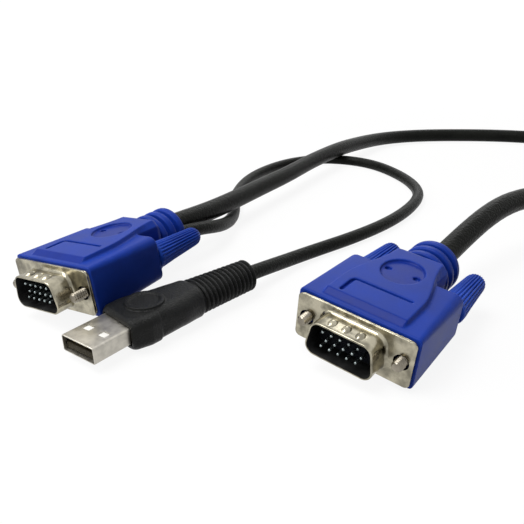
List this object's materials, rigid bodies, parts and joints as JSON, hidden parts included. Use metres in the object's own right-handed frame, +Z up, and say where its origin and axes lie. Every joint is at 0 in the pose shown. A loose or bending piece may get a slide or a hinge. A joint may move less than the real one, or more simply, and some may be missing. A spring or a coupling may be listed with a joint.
{
  "type": "kvm cable",
  "caption": "Switch cable with blue display plugs on one thick black cord and a USB plug on a thin side lead, lying with its length coiled.",
  "frame": {"origin": "on the surface that the cable lies on, under the middle of the box round its plugs, without the cords", "axes": "+Z up from the surface; X along the box's long side; the plugs' mouths point towards -X and -Y"},
  "size_m": [0.2989, 0.243, 0.0232],
  "materials": {
    "blue_plastic": "satin moulded",
    "blue_grip": "ridged satin",
    "nickel": "plated satin",
    "pin_metal": "bright",
    "steel": "turned",
    "tinned_steel": "dull",
    "gold": "bright",
    "black_plastic": "matte",
    "black_rubber": "matte moulded",
    "cord_rubber": "satin"
  },
  "bodies": {
    "cable": {"coil_tie": "black_rubber", "left_plug_front_shell": "nickel", "left_plug_hood": "blue_plastic", "left_plug_insulator": "black_plastic", "left_plug_pin_01": "pin_metal", "left_plug_pin_02": "pin_metal", "left_plug_pin_03": "pin_metal", "left_plug_pin_04": "pin_metal", "left_plug_pin_05": "pin_metal", "left_plug_pin_06": "pin_metal", "left_plug_pin_07": "pin_metal", "left_plug_pin_08": "pin_metal", "left_plug_pin_09": "pin_metal", "left_plug_pin_10": "pin_metal", "left_plug_pin_11": "pin_metal", "left_plug_pin_12": "pin_metal", "left_plug_pin_13": "pin_metal", "left_plug_pin_14": "pin_metal", "left_plug_pin_15": "pin_metal", "left_plug_rear_shell": "nickel", "main_cord_coil": "cord_rubber", "main_cord_left": "cord_rubber", "main_cord_right": "cord_rubber", "right_plug_front_shell": "nickel", "right_plug_hood": "blue_plastic", "right_plug_insulator": "black_plastic", "right_plug_pin_01": "pin_metal", "right_plug_pin_02": "pin_metal", "right_plug_pin_03": "pin_metal", "right_plug_pin_04": "pin_metal", "right_plug_pin_05": "pin_metal", "right_plug_pin_06": "pin_metal", "right_plug_pin_07": "pin_metal", "right_plug_pin_08": "pin_metal", "right_plug_pin_09": "pin_metal", "right_plug_pin_10": "pin_metal", "right_plug_pin_11": "pin_metal", "right_plug_pin_12": "pin_metal", "right_plug_pin_13": "pin_metal", "right_plug_pin_14": "pin_metal", "right_plug_pin_15": "pin_metal", "right_plug_rear_shell": "nickel", "usb_contact_1": "gold", "usb_contact_2": "gold", "usb_contact_3": "gold", "usb_contact_4": "gold", "usb_lead": "cord_rubber", "usb_overmould": "black_rubber", "usb_shell": "tinned_steel", "usb_tongue": "black_plastic"},
    "left_far_thumbscrew": {"left_plug_far_screw_grip": "blue_grip", "left_plug_far_screw_shank": "steel"},
    "left_near_thumbscrew": {"left_plug_near_screw_grip": "blue_grip", "left_plug_near_screw_shank": "steel"},
    "right_far_thumbscrew": {"right_plug_far_screw_grip": "blue_grip", "right_plug_far_screw_shank": "steel"},
    "right_near_thumbscrew": {"right_plug_near_screw_grip": "blue_grip", "right_plug_near_screw_shank": "steel"}
  },
  "joints": [
    {"name": "left_far_thumbscrew_turn", "type": "hinge", "parent": "cable", "child": "left_far_thumbscrew", "pos_m": [-0.06135, 0.00314, 0.00775], "axis": [-0.5803, -0.8136, -0.0366], "continuous": true},
    {"name": "left_near_thumbscrew_turn", "type": "hinge", "parent": "cable", "child": "left_near_thumbscrew", "pos_m": [-0.04125, -0.01134, 0.01105], "axis": [-0.5803, -0.8136, -0.0366], "continuous": true},
    {"name": "right_far_thumbscrew_turn", "type": "hinge", "parent": "cable", "child": "right_far_thumbscrew", "pos_m": [0.01594, -0.02163, 0.01041], "axis": [-0.6177, -0.7849, -0.0488], "continuous": true},
    {"name": "right_near_thumbscrew_turn", "type": "hinge", "parent": "cable", "child": "right_near_thumbscrew", "pos_m": [0.03554, -0.03689, 0.00771], "axis": [-0.6177, -0.7849, -0.0488], "continuous": true}
  ]
}
